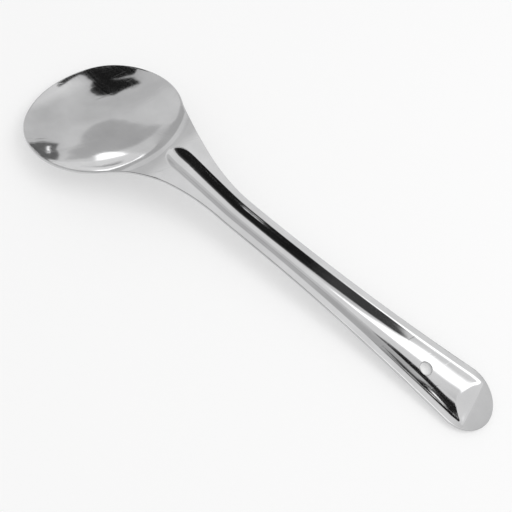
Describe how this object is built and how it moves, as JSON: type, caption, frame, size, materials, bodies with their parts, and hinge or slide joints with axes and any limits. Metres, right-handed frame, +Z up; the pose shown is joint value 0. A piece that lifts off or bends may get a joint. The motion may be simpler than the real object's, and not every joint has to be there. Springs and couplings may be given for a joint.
{
  "type": "cooking ladle",
  "caption": "Polished steel ladle pressed from one sheet: shallow round bowl, raised neck, and a troughed handle with a hanging hole.",
  "frame": {"origin": "bottom centre of the ladle as it rests on its bowl and on the end of its handle", "axes": "+X from the tip of the bowl to the end of the handle, +Y across, +Z up out of the bowl"},
  "size_m": [0.259, 0.0786, 0.0194],
  "materials": {
    "polished_steel": "mirror-polished stainless steel"
  },
  "bodies": {
    "root": {"ladle": "polished_steel"}
  },
  "joints": []
}
